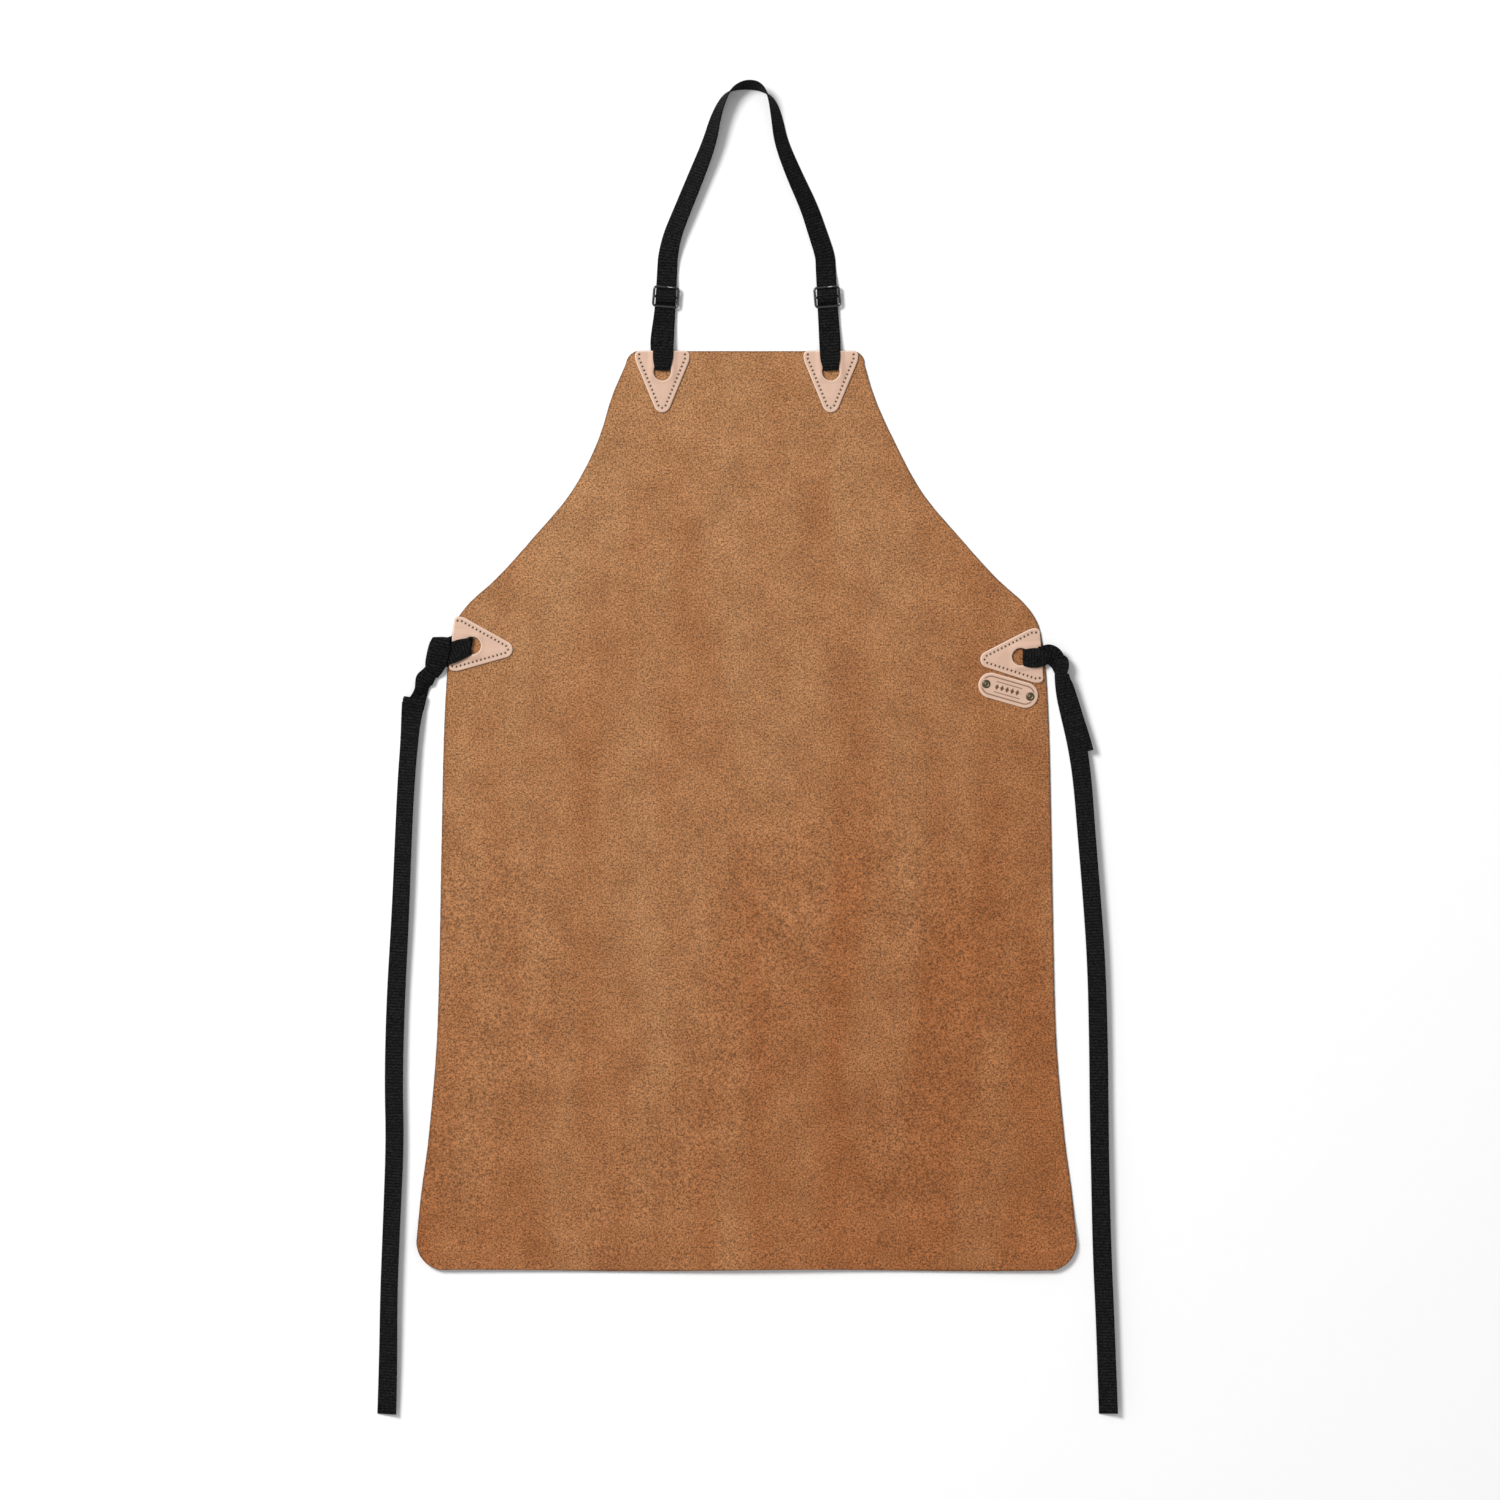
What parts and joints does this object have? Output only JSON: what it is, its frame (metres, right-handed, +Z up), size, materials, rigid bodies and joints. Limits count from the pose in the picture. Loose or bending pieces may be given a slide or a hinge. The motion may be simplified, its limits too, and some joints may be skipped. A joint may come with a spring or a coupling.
{
  "type": "welding apron",
  "caption": "Split leather bib apron with an adjustable webbing neck strap on two slide buckles, knotted waist ties and four stitched strap patches, laid out flat.",
  "frame": {"origin": "middle of the leather panel's underside, where it lies on the floor", "axes": "+Z up out of the rough front face, +Y towards the bib and the neck strap, +X towards the side with the label"},
  "size_m": [0.7303, 1.3107, 0.02],
  "materials": {
    "split_leather": "suede",
    "tanned_leather": "satin",
    "sewing_thread": "matte",
    "black_thread": "matte",
    "black_webbing": "ribbed weave",
    "antique_brass": "aged",
    "black_wire": "gloss enamel"
  },
  "bodies": {
    "root": {"apron_body": "split_leather", "patch_bib_left": "tanned_leather", "needle_thread_bib_left": "sewing_thread", "bobbin_thread_bib_left": "sewing_thread", "patch_bib_right": "tanned_leather", "needle_thread_bib_right": "sewing_thread", "bobbin_thread_bib_right": "sewing_thread", "patch_waist_left": "tanned_leather", "needle_thread_waist_left": "sewing_thread", "bobbin_thread_waist_left": "sewing_thread", "patch_waist_right": "tanned_leather", "needle_thread_waist_right": "sewing_thread", "bobbin_thread_waist_right": "sewing_thread", "label_tag": "tanned_leather", "label_rivets": "antique_brass", "label_rivet_backs": "antique_brass", "neck_strap": "black_webbing", "waist_tie_left": "black_webbing", "waist_tie_left_loop": "black_webbing", "waist_tie_left_knot": "black_webbing", "waist_tie_right": "black_webbing", "waist_tie_right_loop": "black_webbing", "waist_tie_right_knot": "black_webbing", "waist_tie_right_tail": "black_webbing"},
    "slider_left": {"slider_left_frame": "black_wire", "slider_left_bar": "black_wire", "neck_strap_left_end": "black_webbing", "neck_strap_left_weave": "black_webbing", "end_stitching_left": "black_thread"},
    "slider_right": {"slider_right_frame": "black_wire", "slider_right_bar": "black_wire", "neck_strap_right_end": "black_webbing", "neck_strap_right_weave": "black_webbing", "end_stitching_right": "black_thread"}
  },
  "joints": [
    {"name": "neck_slider_left", "type": "slide", "parent": "root", "child": "slider_left", "axis": [0.0489, 0.9988, 0], "range_m": [-0.025, 0.028]},
    {"name": "neck_slider_right", "type": "slide", "parent": "root", "child": "slider_right", "axis": [-0.0489, 0.9988, 0], "range_m": [-0.025, 0.028]}
  ]
}
